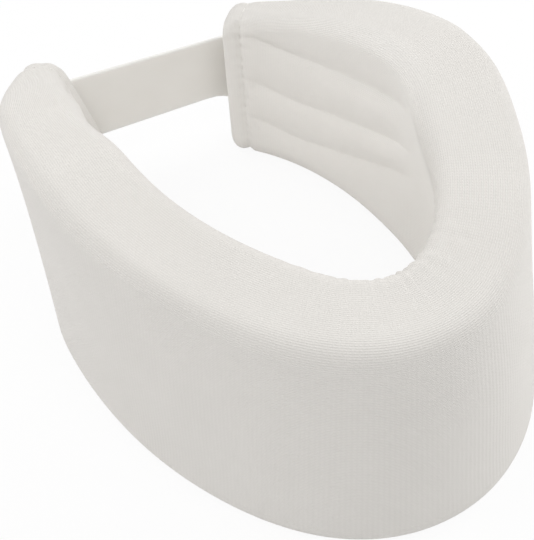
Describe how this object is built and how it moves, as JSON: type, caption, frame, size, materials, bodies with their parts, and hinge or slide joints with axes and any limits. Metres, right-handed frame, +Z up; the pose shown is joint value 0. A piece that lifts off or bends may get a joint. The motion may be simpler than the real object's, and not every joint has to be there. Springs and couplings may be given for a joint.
{
  "type": "cervical collar",
  "caption": "Soft foam neck collar in a knitted sleeve, bent to an open ring with a chin dip, sewn ends and a hook-and-loop tape that closes it behind.",
  "frame": {"origin": "on the surface that the lower edge stands on, under the middle of the whole collar", "axes": "+Z up, the chin side towards -Y, the opening and its tape towards +Y"},
  "size_m": [0.1414, 0.1828, 0.0797],
  "materials": {
    "knit": "matt off-white cotton jersey",
    "foam": "open-cell cream foam",
    "tape": "smooth woven off-white tape",
    "loops": "brushed loop pile",
    "hooks": "moulded hook strip",
    "thread": "spun sewing thread"
  },
  "bodies": {
    "collar": {"foam_core": "foam", "knit_cover": "knit", "left_end_seam": "thread", "right_end_seam": "thread", "strap_sewn_end": "tape", "strap_seam": "thread", "loop_pad": "loops", "loop_pad_seam": "thread"},
    "strap": {"strap_band": "tape", "hook_patch": "hooks", "hook_patch_seam": "thread"}
  },
  "joints": [
    {"name": "strap_swing", "type": "hinge", "parent": "collar", "child": "strap", "pos_m": [-0.04656, 0.08566, 0.0303], "axis": [-0.2045, 0.1253, 0.9708], "range_deg": [0, 165]}
  ]
}
